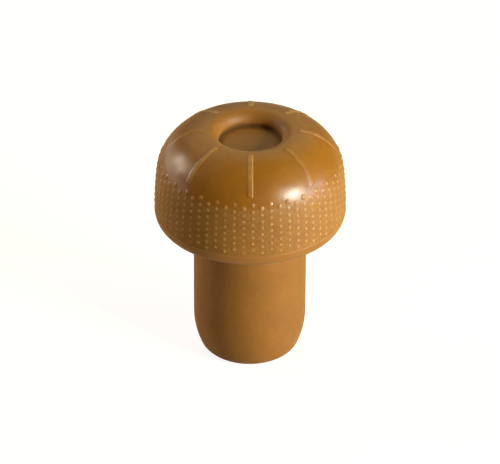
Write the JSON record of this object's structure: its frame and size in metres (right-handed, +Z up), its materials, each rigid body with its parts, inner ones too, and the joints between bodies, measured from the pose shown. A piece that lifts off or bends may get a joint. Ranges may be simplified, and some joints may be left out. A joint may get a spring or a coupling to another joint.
{
  "type": "plastic bottle stopper",
  "caption": "Plastic bottle stopper: a straight plug with a soft nose under a domed grip head with raised ribs, a band of small grip bumps and a shallow round recess.",
  "frame": {"origin": "centre of the plug's flat foot, which the stopper stands on", "axes": "+Z runs up the stopper's own axis from the foot to the domed top; -Y is the front, where one rib points"},
  "size_m": [0.0342, 0.0342, 0.0448],
  "materials": {
    "moulded_plastic": "satin caramel-brown moulded plastic, smoother and glossier on the dome"
  },
  "bodies": {
    "root": {"stopper": "moulded_plastic"}
  },
  "joints": []
}
